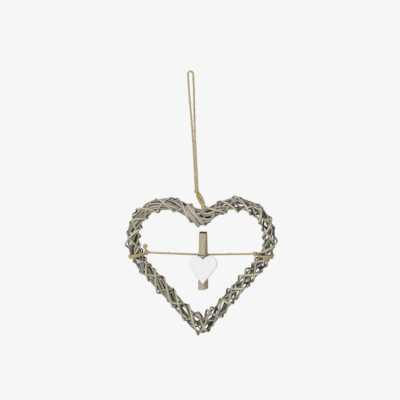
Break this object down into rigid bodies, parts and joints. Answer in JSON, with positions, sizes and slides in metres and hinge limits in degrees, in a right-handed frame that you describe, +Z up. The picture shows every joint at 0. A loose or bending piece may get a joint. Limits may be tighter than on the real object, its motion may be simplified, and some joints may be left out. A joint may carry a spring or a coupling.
{
  "type": "wicker heart ornament",
  "caption": "Heart-shaped wicker wreath on a twine loop, with a cross twine that carries a wooden clothes peg and a small white heart.",
  "frame": {"origin": "top of the hanging loop, where it rests on its pin", "axes": "+Z up, against the pull of the hanging wreath; +X along the width of the heart, to the viewer's right; -Y towards the viewer"},
  "size_m": [0.1835, 0.0276, 0.3234],
  "materials": {
    "rod_willow": "weathered peeled rods",
    "bark_rod": "greyed, dry bark",
    "pale_strip": "split, dry, pale greyed",
    "jute_twine": "twisted, hairy",
    "peg_wood": "sawn, unvarnished",
    "spring_steel": "drawn wire",
    "white_paint": "white painted, satin"
  },
  "bodies": {
    "wreath": {"core_rod_1": "rod_willow", "core_rod_2": "rod_willow", "core_rod_3": "rod_willow", "outer_rod_1": "bark_rod", "outer_rod_2": "bark_rod", "outer_rod_3": "bark_rod", "outer_rod_4": "bark_rod", "outer_rod_5": "bark_rod", "outer_rod_6": "bark_rod", "outer_rod_7": "bark_rod", "outer_rod_8": "bark_rod", "outer_rod_9": "bark_rod", "outer_rod_10": "bark_rod", "outer_rod_11": "bark_rod", "counter_strip_1": "pale_strip", "counter_strip_2": "pale_strip", "pale_strip_1": "pale_strip", "pale_strip_2": "pale_strip", "hanging_twine": "jute_twine", "hanging_knot": "jute_twine", "cleft_wrap": "jute_twine", "left_wrap": "jute_twine", "left_knot": "jute_twine", "cross_twine": "jute_twine", "right_knot": "jute_twine", "right_wrap": "jute_twine", "peg_front": "peg_wood", "peg_spring": "spring_steel", "white_heart": "white_paint"},
    "peg_back": {"peg_back": "peg_wood"}
  },
  "joints": [
    {"name": "peg_hinge", "type": "hinge", "parent": "wreath", "child": "peg_back", "pos_m": [0.0155, 0, -0.2245], "axis": [-0.9781, 0.2079, 0], "range_deg": [0, 16], "stiffness_Nm_per_rad": 0.3, "deforming": ["peg_spring"]}
  ]
}
